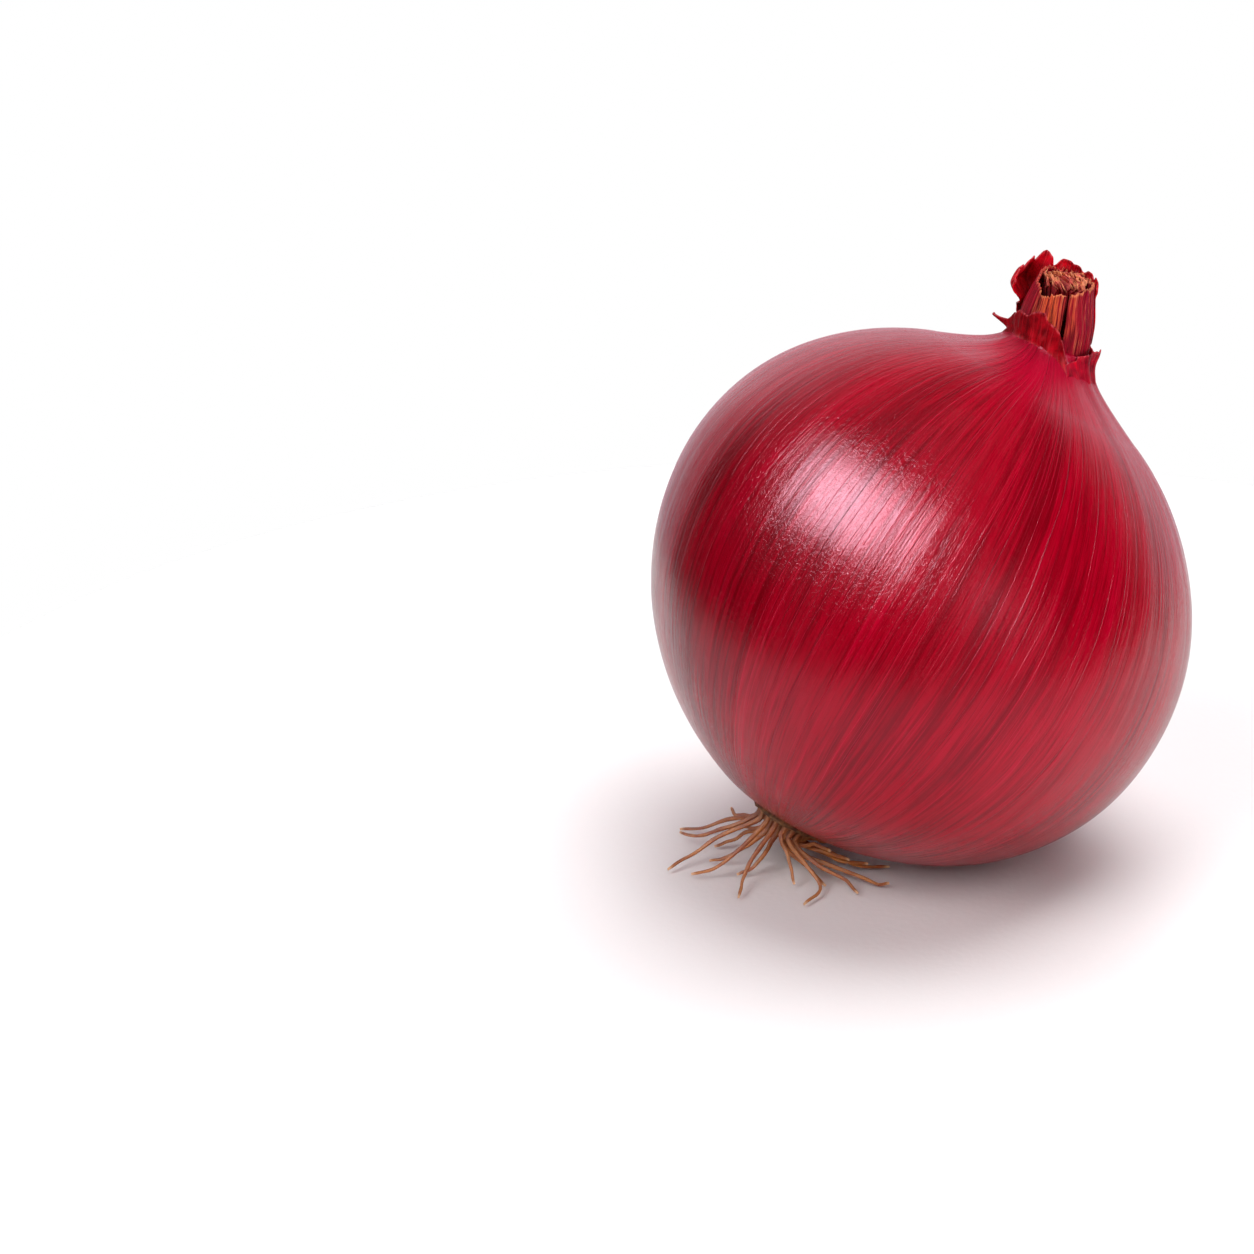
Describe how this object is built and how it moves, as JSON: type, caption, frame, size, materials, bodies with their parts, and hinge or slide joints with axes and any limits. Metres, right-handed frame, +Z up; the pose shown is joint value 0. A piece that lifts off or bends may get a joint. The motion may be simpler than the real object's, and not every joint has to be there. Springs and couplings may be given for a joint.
{
  "type": "onion",
  "caption": "Whole red onion with a cut dry neck in a torn skin collar and a tuft of dried roots, leaning on a small flat spot.",
  "frame": {"origin": "middle of the small flat spot that the onion rests on, on the surface below it", "axes": "+Z up; the bulb's own axis leans 31.6 degrees from +Z, its neck end towards +X and a little to +Y, so the roots are low on the -X side; -Y faces the viewer of the picture"},
  "size_m": [0.0775, 0.0799, 0.0877],
  "materials": {
    "bulb_skin": "gloss",
    "dry_skin": "satin",
    "dry_leaf_red": "satin",
    "dry_leaf_brown": "matte",
    "inner_leaf": "matte",
    "root_plate": "matte",
    "root": "matte"
  },
  "bodies": {
    "root": {"bulb": "bulb_skin", "collar_left": "dry_skin", "collar_right": "dry_skin", "neck_leaf_left": "dry_leaf_red", "neck_leaf_front": "dry_leaf_brown", "neck_leaf_right": "dry_leaf_brown", "inner_leaf_curled": "inner_leaf", "inner_leaf_crumpled": "inner_leaf", "skin_scrap_low": "dry_skin", "skin_scrap_tall": "dry_skin", "root_plate": "root_plate", "root_01": "root", "root_02": "root", "root_03": "root", "root_04": "root", "root_05": "root", "root_06": "root", "root_07": "root", "root_08": "root", "root_09": "root", "root_10": "root", "root_11": "root", "root_12": "root", "root_13": "root", "root_14": "root", "root_15": "root", "root_16": "root", "root_17": "root", "root_18": "root", "root_19": "root", "root_20": "root", "root_21": "root", "root_22": "root", "root_23": "root"}
  },
  "joints": []
}
